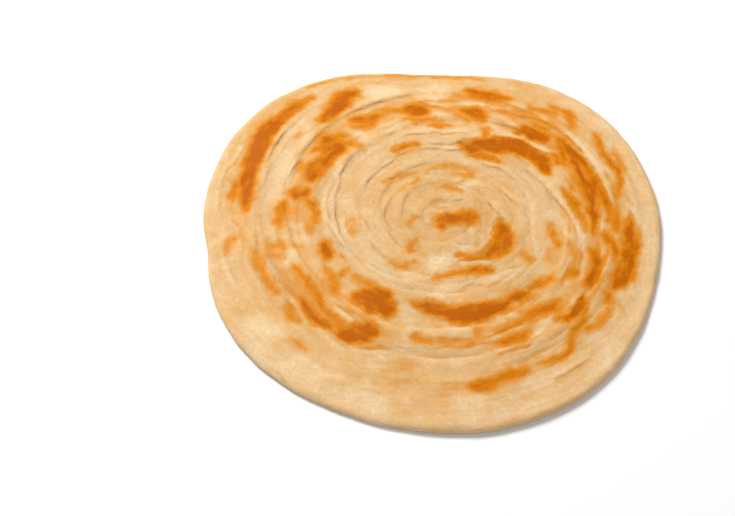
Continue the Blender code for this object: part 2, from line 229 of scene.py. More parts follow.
# Each patch where the dough lay against the pan: how dark it went, then its points, each an angle, a distance and
# half the patch's width there.
TOAST = (
    # the knot in the middle
    (0.90, (4, 0.6, 3.5), (6, 3, 4.2), (8, 6, 3.8)),
    (0.76, (8, 6, 3.8), (4, 11, 4.6), (3, 12.4, 3.6)),
    (0.90, (280, 2.5, 2.4), (277, 4.2, 1.4)),
    (0.50, (176, 11, 2.2), (183, 12.5, 2.0)),
    (0.48, (92, 17.5, 1.4), (76, 17.5, 2.2), (60, 17.5, 1.3)),
    (0.50, (103, 27, 1.2), (84, 28.5, 1.6), (66, 28.5, 1.0)),
    (0.78, (87, 28.7, 0.9), (70, 28.8, 0.8)),
    (0.46, (66, 22, 1.6), (63, 27, 2.2)),
    (0.46, (74, 26, 1.4), (68, 25.5, 2)),
    (0.52, (139, 30.5, 1.0), (126, 29, 1.5), (112, 27, 1.2)),
    (0.42, (135, 22, 1.2), (120, 21.5, 1.8), (112, 23, 1.0)),
    # far left
    (0.86, (128.5, 86.5, 2.2), (132.5, 86.6, 3.2), (137.5, 85.8, 3.5), (142, 86, 4.1)),
    (1.00, (143.5, 86.3, 4.4), (150.5, 85, 4.9), (156, 83.3, 4.3)),
    (0.94, (156, 83.3, 4.4), (162.5, 82, 4.2), (167, 81, 4.2), (171.5, 79.5, 3.4), (175, 78.5, 1.8)),
    (0.70, (166.5, 85.5, 2.4), (170.5, 85, 3)),
    (0.96, (116.5, 79.5, 3), (119.5, 79, 4.4), (122.5, 75.5, 4.6), (127, 73.5, 4), (131.5, 73, 2.4)),
    (0.78, (123.5, 65.5, 1.8), (120.5, 62.5, 3.4), (117, 61, 3.4), (113, 62, 2)),
    (0.78, (125.5, 61.5, 1.8), (122.5, 59.5, 2.2), (120, 59, 1.6)),
    (0.62, (112.5, 63.5, 1.6), (108.5, 63.5, 1.6), (104, 61.5, 1.8)),
    (1.00, (101, 61.5, 3.4), (98.5, 60.5, 4.6), (96.5, 60, 3.6)),
    (0.72, (104, 56.5, 1.2), (98.5, 54.5, 1.8), (91.5, 55, 1.4)),
    (0.66, (141.5, 64.5, 1.4), (137.5, 67.5, 1.6), (134, 65, 1.4)),
    (0.98, (137, 64, 3), (136.5, 60, 5), (137.5, 57, 5.2), (141, 58, 4.8)),
    (0.82, (143.5, 63.5, 1.8), (141.5, 60.5, 2.8)),
    (0.70, (132.5, 55.5, 2.8), (130, 51.5, 1.6)),
    (0.94, (142, 57, 3.9), (148.5, 56.6, 4.2), (154, 57.5, 4.9), (157, 57.5, 3.2)),
    (0.90, (130.5, 60.5, 2), (134, 61.5, 3)),
    (0.60, (155, 62, 2), (152, 64.5, 1.6)),
    (0.90, (117, 41, 1.5), (110, 41.3, 2.1), (103, 42, 1.5)),
    (0.95, (166, 62.5, 1.6), (166.5, 59.5, 3.4), (165.5, 57, 3)),
    (0.85, (171.5, 64.3, 1.4), (175.5, 65, 2.8), (180, 65, 2.6), (182.8, 64.6, 1.4)),
    (0.74, (168.5, 56, 1.6), (171, 52.5, 2.4), (175.5, 50.5, 2.2), (181.5, 50.5, 1.6)),
    (0.38, (180, 52, 1.6), (183.5, 52.5, 2.6), (186.5, 54, 2)),
    (0.50, (142.5, 74, 1.2), (142, 73.5, 1.2)),
    # far right
    (0.86, (80, 73.5, 1.8), (76.5, 72.5, 3.4), (72.5, 72.5, 3.8), (69, 72.5, 3), (65.5, 73, 1.6)),
    (0.98, (79, 61, 1.8), (76, 61, 3.6), (74, 59.5, 4.2), (72, 57, 2.4)),
    (0.50, (95.5, 54.5, 1.2), (88.5, 54, 1.2)),
    (0.70, (94.5, 51, 1.2), (89, 51, 1.8), (84, 50.5, 1.2)),
    (0.60, (82, 57, 1.4), (77, 55.5, 2)),
    (0.58, (58, 73, 2), (54.5, 74, 2.6), (50.5, 76.5, 2.6)),
    (0.78, (53, 78.5, 1.4), (49, 80, 2.2), (45.5, 79.5, 2.4), (42.5, 76, 1.4)),
    (0.72, (65.5, 64.5, 1), (56, 68.5, 2), (50, 70, 2.6), (44.5, 70, 2)),
    (0.97, (55, 58, 2), (52.5, 60.5, 3.6), (48.5, 61, 4.6), (45.5, 62.5, 3.4)),
    (0.72, (51.5, 64.5, 2), (47.5, 67.5, 2)),
    (
        1.00, (76, 42, 2), (70, 40.5, 3.4), (66, 43.5, 4.4), (58, 46.5, 5), (52.5, 50.5, 4.6),
        (46, 51.5, 4.8), (39, 52.5, 4.5), (33.5, 52, 3.6), (30, 50.5, 2.1),
    ),
    (0.88, (36.5, 59, 2.4), (33, 58.2, 2.6)),
    (0.90, (68, 52.5, 1.6), (66, 48, 2)),
    (0.86, (70, 37, 1.6), (64.5, 38, 2.2), (59.5, 38.5, 2.2), (55, 38.5, 1.8), (51.5, 39, 1)),
    (0.86, (30.5, 59.5, 2), (34, 62, 2.4), (38, 64, 2.4), (41.5, 66.5, 1.8)),
    (
        1.00, (41.5, 67.5, 1.4), (37.5, 66, 2.4), (31.5, 65.5, 3.4), (27.5, 65, 4), (22.5, 64.3, 4.4),
        (18, 63.5, 5), (12.5, 64, 4.8), (8, 62.5, 3.6), (5.5, 61.5, 2.8), (0, 61.5, 2.4), (-5, 60.8, 1.8),
    ),
    (0.85, (10, 67.5, 2), (5.5, 67.8, 2), (1, 67.5, 1.8)),
    (0.76, (18, 52.5, 1.2), (13, 53, 2.2), (8, 55, 2.8), (2.5, 56.5, 2.4), (-2.5, 57.5, 1.8), (-6, 57.5, 1.2)),
    (0.60, (22, 58, 1.8), (17, 57, 1.8)),
    (
        0.86, (35.5, 80, 1.4), (32.5, 78.5, 1.6), (31, 77.5, 1.4), (27, 77.3, 1.9), (23.5, 77.3, 2.5), (20.5, 78, 2.2), (17, 77, 2),
        (11.5, 74, 1.6), (10, 73, 1.2),
    ),
    (0.74, (21.5, 80, 1.4), (24.5, 81.8, 1.3), (28, 81.6, 1)),
    (0.80, (40, 69, 1), (35, 69, 1.5), (30, 68.5, 1.3)),
    (0.72, (8, 69.5, 1.6), (4, 70, 2), (0, 70, 2.2), (-4, 70.5, 1.8)),
    # near right
    (
        1.00, (1, 75.3, 2), (-3, 75.9, 3.5), (-8.5, 76.2, 4.2), (-14, 76.3, 4.3), (-19, 76, 4.4),
        (-23, 75.4, 3.9), (-26, 74.5, 2.2),
    ),
    (0.90, (354, 65.5, 1.8), (350.5, 68.5, 2.4), (347, 71, 2)),
    (0.92, (346, 61.5, 1.8), (341.5, 64, 3), (336.5, 65.5, 3.2), (331, 65.5, 2.6)),
    (0.76, (357.5, 43.5, 1), (351, 45, 2), (345, 48, 1.4)),
    (0.42, (347.5, 52.5, 1.6), (342.5, 55.5, 1.8)),
    (0.36, (341, 46, 2), (335, 47, 2.4)),
    (0.82, (330.5, 57.5, 1.4), (333, 58.2, 2.4), (334, 58.5, 1.4)),
    (1.00, (311.5, 65, 1.4), (315, 67, 2.6), (319, 67.5, 3), (324, 66.5, 2.2)),
    (0.80, (321, 70.5, 2.2), (317, 72, 3.2), (313.5, 73.5, 2.8)),
    (0.80, (313.5, 72.5, 2), (317, 72, 2), (320, 73.5, 1.2)),
    (
        0.88, (297, 78, 1), (300.5, 79, 1.4), (304.5, 80, 1.8), (307, 78.8, 1.7), (309.7, 76.5, 1.5),
        (312.5, 74, 1.8),
    ),
    (0.60, (316.5, 76, 2.4), (319.5, 78, 2.8), (323, 78.5, 2.2), (326, 77.5, 2)),
    (0.70, (330.5, 73, 1.6), (329, 76, 3)),
    (0.45, (329, 79, 1.4), (329, 81.5, 1.2)),
    # near side
    (0.92, (357, 23.5, 1.6), (350, 24.6, 3.4), (341, 26, 4.6), (333, 27, 4.7), (325, 26, 3.8), (318, 25, 2.8)),
    (0.82, (317, 26.5, 2.6), (306.5, 23.5, 2), (292.5, 19.5, 1.6)),
    (0.58, (288, 22.5, 0.9), (303, 25, 1.2)),
    (0.50, (331, 36, 1.8), (330.5, 39.5, 2)),
    (0.84, (265, 28.8, 1.3), (280.5, 27.6, 1.8), (293.5, 28, 2.4), (302, 29.5, 2.6), (307, 32, 1.5)),
    (
        1.00, (256, 44.3, 2), (260, 43.5, 3), (266, 44.2, 3.6), (270, 45.7, 4), (275.5, 47.2, 4.8),
        (281, 47.7, 5.4), (287, 48, 5), (293.5, 47.8, 3.6), (298.5, 48.6, 3), (301.5, 48.5, 2.2),
    ),
    (0.92, (303.5, 47.5, 2.2), (307.5, 48, 3.4), (312, 49.5, 2.2)),
    (0.70, (314.5, 49, 2.6), (320, 49.5, 3), (325, 51, 2)),
    (
        0.92, (290.5, 59, 1.4), (297.5, 58.6, 1.8), (304.5, 58.4, 2.4), (311, 58, 2.9), (315.5, 59.3, 2.6),
        (318.5, 60.5, 1.2),
    ),
    (0.90, (289, 63.5, 1.6), (293, 64, 2.8), (297, 64.5, 2.8), (300, 64, 1.4)),
    (0.42, (288, 82, 1.4), (292, 81.5, 1.2)),
    (0.72, (277, 80, 2.4), (280, 80.3, 3.4), (283.5, 79.7, 3.1), (289, 78.9, 3.2), (293, 79, 2.2)),
    (0.72, (269, 59.5, 1.4), (273, 61, 1.9), (279.5, 61.3, 1.8)),
    (0.60, (282.5, 58.5, 1.6), (283.5, 56.5, 1.2)),
    (0.55, (284.5, 63, 1.2), (288, 63, 1.4)),
    (0.60, (288, 69.8, 1), (293, 69.8, 1.2), (297.5, 70, 1.2)),
    # near left
    (1.00, (196, 48.3, 3), (199, 48.5, 3.4), (202.5, 49.5, 2)),
    (0.50, (204, 44.5, 1.6), (207, 44, 1.2)),
    (0.70, (207.5, 52.5, 1.4), (212, 53, 2.2), (217.5, 53.5, 2.6), (220, 55.5, 1.6)),
    (0.66, (214.5, 49, 1.6), (213.5, 46, 1.8)),
    (0.72, (220.5, 45, 1.6), (225, 44.5, 2), (229, 44, 2)),
    (1.00, (228, 51.5, 2.2), (232, 48.5, 4.2), (237.5, 46.5, 5.4), (243, 49, 4.6), (245, 52, 2.4)),
    (0.92, (232, 52.5, 2.4), (237.5, 52.5, 3.4)),
    (0.92, (202.5, 62, 1.4), (207, 62, 2), (212.5, 61.5, 2.4), (218, 62, 2.2), (222, 63.5, 1.8)),
    (0.95, (214.5, 68, 1.4), (218, 68.5, 2.2), (222.5, 69.5, 2.8), (226, 69, 2.6), (229, 68, 2)),
    (0.74, (222.5, 63.5, 1.6), (228, 64, 2.6), (233, 65, 2.6)),
    (1.00, (236, 68, 3.4), (238.5, 65, 4.8), (241.5, 63, 4.8), (243.5, 63, 3)),
    (0.60, (242.5, 69.5, 0.9), (248, 67, 1.2)),
    (0.66, (216, 75, 2), (219, 76, 2.6), (221.5, 75, 1.8)),
    (0.46, (224, 83, 1.4), (226.5, 82.5, 1.8), (229.5, 82, 1.4)),
    (0.55, (226, 72, 1.8), (230.5, 69, 1.6)),
    (0.66, (192, 76, 1.8), (196.5, 76, 2.2), (201.5, 75, 2), (206, 74.5, 2), (209.5, 74, 1.4)),
    (0.42, (193.5, 70.5, 1.6), (196, 67, 1.8)),
    (0.55, (191, 70.5, 1.2), (190, 65.5, 1.4), (193, 60.5, 1.4)),
    (0.42, (190.5, 87.5, 1.6), (187.5, 86.5, 2), (185.5, 83, 1.6)),
    (0.52, (232, 21.5, 1.4), (226.5, 18, 2.2), (226.5, 14.5, 1.6)),
    (0.52, (227, 30, 1.3), (235.5, 28.5, 1.8), (243, 24.5, 1.6)),
    (0.62, (259, 58.5, 2), (262.5, 60, 2.2), (265, 59.5, 1.4)),
    (0.26, (252.5, 75, 1.6), (259, 71.5, 1.8)),
    (0.30, (255.5, 80, 1), (260, 77.5, 1.4), (264.5, 75.5, 1)),
    # the far rim and the faint marks: a thin brown line along the far rim, and faint brown marks, some of them painted
    # shade in creases and gaps between layers
    (0.60, (126, 92, 1), (113, 87.4, 0.9), (106, 84, 0.8)),
    (0.76, (105, 83.6, 0.8), (96, 81.7, 1), (85, 80.9, 0.9), (76, 81.5, 0.6)),
    (0.45, (6, 50.5, 0.9), (-1, 51.3, 1.3), (-8, 53, 0.9)),
    (0.40, (72, 66, 1.2), (66, 65.5, 1.4), (60, 66, 1.2)),
    (0.26, (16, 31.5, 1.0), (35, 31.5, 1.0)),
    (0.36, (295, 35.5, 1), (303, 37, 1.1)),
    (0.30, (116, 84, 1.6), (107, 80.5, 1.4)),
    (0.28, (181, 35.5, 1.6), (191, 36, 2.0)),
    (0.30, (299, 87, 1.0), (307, 86, 1.0)),
)

# Broad stretches that only came near the pan and went golden, laid out like the patches.
GOLDEN = (
    (0.27, (92, 66, 9), (75, 66, 9), (60, 68, 11), (48, 70, 12), (35, 68, 12), (20, 67, 11), (5, 66, 11)),
    (0.28, (5, 66, 11), (-10, 65, 12), (-22, 64, 13), (-35, 63, 13), (-48, 61, 11), (-60, 60, 8), (-76, 60, 5)),
    (0.20, (100, 61, 5), (115, 63, 6), (130, 61, 7), (145, 60, 7), (160, 58, 6), (175, 58, 7), (190, 56, 6)),
    (0.23, (195, 68, 9), (205, 67, 10), (215, 66, 12), (225, 64, 13), (235, 60, 12), (245, 58, 9)),
    (0.18, (124, 88, 4), (140, 87.5, 8), (155, 86, 8), (166, 84, 8), (176, 80, 7), (190, 76, 6)),
    (0.18, (132, 72, 3), (120, 78, 7)),
    (0.10, (55, 83, 5), (65, 83, 5), (75, 80, 4), (90, 78, 4), (105, 80, 4), (118, 84, 4)),
    (0.09, (266, 85, 3), (280, 88, 4), (290, 87, 4)),
    (0.10, (192, 84, 4), (200, 80, 4), (212, 77, 4), (223, 75, 4)),
    (0.20, (254, 44, 4), (270, 47, 6), (290, 49, 7), (306, 49, 7)),
    (0.14, (270, 80, 5), (283, 78, 8), (300, 77, 7), (315, 76, 7), (330, 77, 6)),
    (0.08, (208, 85, 7), (228, 83, 9), (245, 80, 9), (262, 78, 8)),
    (0.10, (0, 6, 14), (300, 22, 8), (335, 26, 9), (355, 25, 6)),
    (0.08, (60, 22, 8), (100, 24, 8), (140, 26, 6)),
)
# Places that stayed pale and floury, laid out like the patches.
FLOURY = (
    (0.35, (154.5, 69.5, 3.5), (162.5, 67.5, 4), (169.5, 69.5, 3)),
    (0.90, (126.5, 58.5, 2.4), (124, 54.5, 1.6)),
    (0.70, (110, 76.5, 4), (105.5, 74, 3)),
    (0.80, (96, 70, 3), (91, 70.5, 5), (88.5, 72, 4)),
    (0.70, (213.5, 88, 4), (218, 85.5, 4)),
    (0.50, (229.5, 90.5, 4), (236, 89, 4)),
    (0.50, (251, 91.5, 3.5), (253.5, 91.5, 3)),
    (0.80, (196.5, 61.5, 2.4), (198.5, 65, 2.4)),
    (0.60, (183, 59, 2.4), (188, 58.5, 2.8), (190, 54, 2.2)),
    (0.90, (262, 22, 3.4), (272, 20, 3)),
    (0.80, (354.5, 56.5, 1.2), (346, 57.5, 1.2)),
    (0.60, (272.5, 52.5, 2), (279, 54.5, 2)),
    (0.50, (274, 87, 3.5), (277.5, 86.5, 3)),
    (0.80, (40.5, 71.5, 1.4), (32, 71.5, 1.6), (22.5, 72.5, 1.4)),
    (0.70, (60.5, 20, 1.5), (55.5, 24.5, 1.5)),
    (0.90, (41, 58, 1.8), (37, 59.5, 1.6)),
    (0.80, (80, 66.5, 2), (74, 66, 2.4), (70, 66.5, 1.5)),
    (0.90, (303, 65, 1.8), (307, 63.5, 2), (311, 62.5, 1.4)),
    (0.70, (294, 54, 1.4), (299, 53.5, 1.4)),
    (0.60, (93, 58.5, 2), (89, 58, 2)),
    (0.90, (359.5, 64, 1.6), (355.5, 64.5, 1.4)),
)
PALER_EDGE = 0.34  # how much paler a patch is along its edge
MIDDLE_DEPTH = 2.8  # how far inside its edge a patch reaches its full darkness
DAB_SPACING = 1.2  # how far apart the round dabs are that make up a patch
TOAST_FEATHER, HALO_FEATHER, FLOURY_FEATHER, GOLDEN_FEATHER = 3.4, 7.0, 6.0, 9.0  # how wide the change from pale is at a patch's edge
HALO = 0.44  # how dark the gold round a patch is, as a share of the patch
TOAST_SWELL = 0.15  # how far toasted dough stands up
PRESSED = 0.6  # how much flatter the layers are where the dough lay against the pan

# ---------------------------------------------------------------- facets

SECTORS = 360
TOP_STEP = 0.42
ROLL_STEPS = 12
FOOT_STEPS = 5
UNDER_STEP = 3.4

# ---------------------------------------------------------------- plain maths


def smooth_step(value):
    """0 to 1 with no kink at either end."""
    value = np.clip(value, 0.0, 1.0)
    return value * value * (3.0 - 2.0 * value)


def bell(degrees, centre, width):
    """1 in the centre direction, falling smoothly to 0 on both sides."""
    away = (degrees - centre + 180.0) % FULL_TURN - 180.0
    return np.exp(-((away / width) ** 2))


def cell_noise(x, y, seed):
    """Smooth noise on a plane of unit cells, from 0 to 1."""
    table = np.random.default_rng(seed).random((256, 256))
    column, row = np.floor(x).astype(int), np.floor(y).astype(int)
    across, up = smooth_step(x - column), smooth_step(y - row)

    def corner(i, j):
        return table[(column + i) % 256, (row + j) % 256]

    low = corner(0, 0) * (1.0 - across) + corner(1, 0) * across
    high = corner(0, 1) * (1.0 - across) + corner(1, 1) * across
    return low * (1.0 - up) + high * up


def noise(x, y, seed, octaves=3):
    """Noise with finer and finer octaves, from -1 to 1."""
    total, weight = 0.0, 0.0
    for octave in range(octaves):
        finer = 2.0**octave
        total = total + cell_noise(x * finer + 17.3 * octave, y * finer + 5.1 * octave, seed + octave) / finer
        weight += 1.0 / finer
    return 2.0 * total / weight - 1.0


def ripple(at, size, seed, octaves=3):
    """Noise over the bread with waves of a size, from -1 to 1."""
    return noise(at.x / size, at.y / size, seed, octaves)


# ---------------------------------------------------------------- the coil


def rim_distance(degrees):
    """Distance from the coil's centre to the rim."""
    angle = np.radians(degrees)
    along = COIL_CENTRE[0] * np.cos(angle) + COIL_CENTRE[1] * np.sin(angle)
    across = COIL_CENTRE[1] * np.cos(angle) - COIL_CENTRE[0] * np.sin(angle)
    plain = np.sqrt(MEAN_RADIUS**2 - across**2) - along
    return plain + sum(amount * bell(degrees, at, width) for at, width, amount in RIM_SHAPES)


def coil_offset():
    """Where the coil's centre is from the middle of the bread's box."""
    degrees = np.arange(0.0, FULL_TURN, 0.5)
    angle, distance = np.radians(degrees), rim_distance(degrees)
    x, y = distance * np.cos(angle), distance * np.sin(angle)
    return -(x.min() + x.max()) / 2.0, -(y.min() + y.max()) / 2.0


def seam_radius(radii, winding):
    """Radius of a seam after it has wound through an angle from its start."""
    table = np.array(radii, float)
    place = winding / QUARTER
    first = np.clip(place.astype(int), 0, len(radii) - 2)
    before, here, there, after = (table[np.clip(first + k, 0, len(radii) - 1)] for k in (-1, 0, 1, 2))
    t = place - first
    bend = (2.0 * t**3 - 3.0 * t**2) * (here - there) + here
    return bend + (t**3 - 2.0 * t**2 + t) * (there - before) / 2.0 + (t**3 - t**2) * (after - here) / 2.0


def coil_place(at):
    """For each point, the turns wound from the rope's outer end to its turn, and how far out it is from the seam."""
    start, radii = SEAMS[0]
    whole = QUARTER * (len(radii) - 1)
    wound = (at.degrees - start) % FULL_TURN
    turns, outwards = np.full(at.distance.shape, whole / FULL_TURN), at.distance.copy()
    found = np.zeros(at.distance.shape, bool)
    for turn in range(math.ceil(whole / FULL_TURN)):
        winding = wound + FULL_TURN * turn
        seam = seam_radius(radii, np.minimum(winding, whole))
        here = ~found & (at.distance >= seam) & (winding < whole)
        turns[here], outwards[here] = (winding / FULL_TURN)[here], (at.distance - seam)[here]
        found |= here
    return turns, outwards, wound


def coil_depth(at):
    """How far out each point is from the seam inside its turn. The outermost turn fades into itself where the rope
    ends."""
    turns, outwards, wound = coil_place(at)
    inner = at.distance - seam_radius(SEAMS[0][1], wound + FULL_TURN)
    share = np.where(turns < 1.0, smooth_step(wound / 20.0), 1.0)
    return outwards * share + inner * (1.0 - share)


def streaks(at, per_turn, across, seed, octaves=2):
    """Noise drawn out along the coil, from -1 to 1. The outermost turn fades into itself where the rope ends, and in
    the knot in the middle the noise is no longer drawn out."""
    turns, outwards, wound = coil_place(at)
    value = noise(turns * per_turn, outwards / across, seed, octaves)
    inner_seam = seam_radius(SEAMS[0][1], wound + FULL_TURN)
    carried_on = noise((turns + 1.0) * per_turn, (at.distance - inner_seam) / across, seed, octaves)
    share = np.where(turns < 1.0, smooth_step(wound / 20.0), 1.0)
    value = value * share + carried_on * (1.0 - share)
    drawn = smooth_step((at.distance - 5.0) / 14.0)
    return value * drawn + ripple(at, 1.3 * across, seed + 7, octaves) * (1.0 - drawn)


# ---------------------------------------------------------------- layers


def step_up(outwards, rise, fall, groove):
    """Height of a lip for a distance outwards from its seam: a crease, a quick rise, a rolled edge and a slow fall."""
    crease = -groove * np.exp(-(((outwards + rise) / rise) ** 2))
    rolled = ROLLED_EDGE * np.exp(-(((outwards - 1.6 * rise) / (1.5 * rise)) ** 2))
    return crease + rolled + smooth_step((outwards + rise) / (2.0 * rise)) * np.exp(-np.maximum(outwards, 0.0) / fall)


def leaning(outwards):
    """How much of the overhang a point takes, for a distance outwards from its seam."""
    return smooth_step((outwards + 0.8) / 1.2) * (1.0 - smooth_step((outwards - 0.6) / 3.0))


def add_layer(top, strength, line, outwards, side, height, rise, fall, groove):
    """Adds one lip to the top, with painted shade in a line at its foot, and paler dough with a painted highlight
    along its edge. The side is 1 for a lip that steps up outwards and -1 for one that steps down."""
    away = outwards * side
    top.height += strength * height * step_up(away, rise, fall, groove)
    # painted shade in a line along the lip's foot
    top.crease += line * np.exp(-(((away + 0.8 * rise) / rise) ** 2))
    # paler dough and a painted highlight along the lip's edge
    top.crest += line * np.exp(-(((away - 2.0 * rise) / (1.6 * rise)) ** 2))
    top.lean += side * OVERHANG * np.minimum(strength, 1.0) * leaning(away)


def add_seams(top, at, stray, calm):
    """The lips of the coil's turns."""
    for number, (start, radii) in enumerate(SEAMS):
        whole = QUARTER * (len(radii) - 1)
        wound = (at.degrees - start) % FULL_TURN
        for turn in range(math.ceil(whole / FULL_TURN)):
            winding = wound + FULL_TURN * turn
            strength = smooth_step(winding / LIP_FADE) * smooth_step((whole - winding) / LIP_FADE)
            strength *= 1.0 - 0.45 * smooth_step(winding / whole)
            patchy = ripple(at, 15.0, 90 + turn + 7 * number, 2)
            strength *= calm * np.clip(0.75 + 1.3 * patchy, 0.0, LIP_MOST) * (winding < whole)
            outwards = at.distance + stray - seam_radius(radii, np.minimum(winding, whole))
            section = (LIP_HEIGHT, LIP_RISE, LIP_FALL, LIP_GROOVE)
            add_layer(top, strength, LIP_LINE * strength, outwards, 1.0, *section)


def add_ledges(top, at, stray):
    """The torn edges of single layers."""
    for step, *points in LEDGES:
        angles, distances = np.array(points, float).T
        degrees = (at.degrees - angles[0] + 30.0) % FULL_TURN - 30.0 + angles[0]
        ends = smooth_step((degrees - angles[0]) / LEDGE_FADE + 0.5) * smooth_step((angles[-1] - degrees) / LEDGE_FADE + 0.5)
        strength = abs(step) * ends * np.clip(1.0 + 0.5 * ripple(at, 5.0, 175, 2), 0.0, 1.3)
        outwards = at.distance + LEDGE_STRAY * stray - np.interp(degrees, angles, distances)
        section = (LEDGE_HEIGHT, LEDGE_RISE, LEDGE_FALL, LEDGE_GROOVE)
        add_layer(top, strength, strength, outwards, math.copysign(1.0, step), *section)


def add_loose_layers(top, at, stray, calm):
    """Short torn edges scattered over the turns. Most step up outwards, and a few step down."""
    random = np.random.default_rng(LOOSE_SEED)
    for _ in range(LOOSE_LAYERS):
        distance = math.sqrt(random.uniform(LOOSE_DISTANCES[0] ** 2, LOOSE_DISTANCES[1] ** 2))
        half = math.degrees(random.uniform(*LOOSE_LENGTHS) / 2.0 / distance)
        middle = random.uniform(0.0, FULL_TURN)
        drift, bow = random.normal(-1.5, 1.5), random.normal(0.0, 1.2)
        step, side = random.uniform(*LOOSE_STEPS), random.choice((1.0, 1.0, 1.0, -1.0))
        along = ((at.degrees - middle + 180.0) % FULL_TURN - 180.0) / half
        strength = step * calm * smooth_step((1.0 - np.abs(along)) / 0.45)
        outwards = at.distance + stray - distance - drift * along - bow * (1.0 - along**2)
        section = (LEDGE_HEIGHT, LEDGE_RISE, LEDGE_FALL, LEDGE_GROOVE)
        add_layer(top, strength, 0.6 * strength, outwards, side, *section)


def add_thin_layers(top, at, calm):
    """Thin layers that lie along the coil like shingles. Their edges come and go, and fade towards the smooth rim."""
    across = 0.6 * coil_depth(at) + 0.4 * at.distance
    top.layer = across / LAYER_SPACING + LAYER_STRAY * streaks(at, 9.0, 9.0, 51) + 0.3 * ripple(at, 5.0, 55) + 5.0
    shown = smooth_step((streaks(at, 10.0, 5.0, 57) + 0.25) / 0.6)
    shown *= 0.4 + 0.6 * smooth_step((at.distance - 12.0) / 12.0)
    top.flaky = shown * calm * (0.2 + 0.8 * smooth_step((86.0 - at.distance) / 16.0))
    part = top.layer - np.floor(top.layer)
    top.height += top.flaky * LAYER_STEP * (smooth_step(part / LAYER_RISER) - part)


def pocket_swell(at):
    """How far the steam pockets lift the top."""
    swell = 0.0
    for degrees, distance, size, rise in POCKETS:
        angle = math.radians(degrees)
        away = np.hypot(at.x - distance * math.cos(angle), at.y - distance * math.sin(angle))
        swell = swell + rise * np.exp(-((away / size) ** 2))
    return swell


def edge_curl(share, degrees):
    """How far the bread has curled up off the table."""
    rise = sum(amount * bell(degrees, at, width) for at, width, amount in CURLS)
    return rise * smooth_step((share - CURL_FROM) / (1.0 - CURL_FROM))


# ---------------------------------------------------------------- toasting


def browned(x, y, patches, feather, paler_edge=0.0):
    """How brown the patches make each point, from 0 to 1. Their edges can be paler than their middles."""
    brown = np.zeros(x.shape)
    for darkness, *points in patches:
        nearest = np.full(x.shape, 99.0)
        for (angle0, distance0, width0), (angle1, distance1, width1) in zip(points, points[1:]):
            length = math.hypot(math.radians(angle1 - angle0) * (distance0 + distance1) / 2.0, distance1 - distance0)
            for part in np.linspace(0.0, 1.0, max(2, int(length / DAB_SPACING) + 2)):
                angle = math.radians(angle0 + (angle1 - angle0) * part)
                distance, width = distance0 + (distance1 - distance0) * part, width0 + (width1 - width0) * part
                away = np.hypot(x - distance * math.cos(angle), y - distance * math.sin(angle)) - width
                nearest = np.minimum(nearest, away)
        middle = 1.0 - paler_edge * (1.0 - smooth_step(-nearest / MIDDLE_DEPTH))
        brown = np.maximum(brown, darkness * middle * smooth_step(0.5 - nearest / feather))
    return brown


def top_toast(at):
    """Toasting of the top: the patches, with ragged edges that follow the layers, over the golden stretches."""
    coarse, fine = 1.1, 0.7
    x = at.x + coarse * ripple(at, 4.5, 11) + fine * ripple(at, 1.3, 31, 2)
    y = at.y + coarse * ripple(at, 4.5, 21) + fine * ripple(at, 1.3, 41, 2)
    along = streaks(at, 30.0, 2.2, 61)
    body = browned(x, y, TOAST, TOAST_FEATHER, PALER_EDGE)
    body = body * np.clip(1.02 + 0.14 * along + 0.22 * ripple(at, 3.0, 71), 0.0, 1.1)
    floury = browned(x, y, FLOURY, FLOURY_FEATHER)
    golden = browned(x, y, GOLDEN, GOLDEN_FEATHER)
    golden = np.maximum(golden, HALO * browned(x, y, TOAST, HALO_FEATHER))
    golden = golden * np.clip(0.95 + 0.6 * along + 0.6 * ripple(at, 5.0, 81), 0.0, 2.0)
    pale = 0.12 - 0.05 * smooth_step((at.distance - 66.0) / 10.0) + 0.10 * ripple(at, 9.0, 91) + 0.08 * ripple(at, 24.0, 97) + 0.05 * along + 0.05 * ripple(at, 2.6, 95)
    golden = np.maximum(golden + pale, 0.0) * (1.0 - 0.75 * floury)
    return body + golden * (1.0 - np.clip(body, 0.0, 1.0)), floury


def raw_dough(at):
    """How grey and underdone the dough looks, from 0 to 1: most in the thick turns round the knot."""
    middle = 0.45 * smooth_step((58.0 - at.distance) / 18.0) + 0.35 * smooth_step((24.0 - at.distance) / 10.0)
    return np.clip(middle * (1.0 + 0.9 * ripple(at, 7.0, 161)) + 0.45 * ripple(at, 12.0, 165) - 0.05, 0.0, 1.0)


def under_toast(at):
    """Toasting of the underside, where the whole face lay on the pan: broad spots drawn out along the coil."""
    spots = 0.55 * streaks(at, 9.0, 9.0, 201) + 0.75 * ripple(at, 13.0, 211) + 0.3 * ripple(at, 3.5, 221)
    inside = smooth_step((at.share * MEAN_RADIUS - MEAN_RADIUS + 2.0) / -14.0)
    return 0.95 * smooth_step((spots + 0.02) / 0.55) * inside + 0.08


# ---------------------------------------------------------------- the bread's mesh


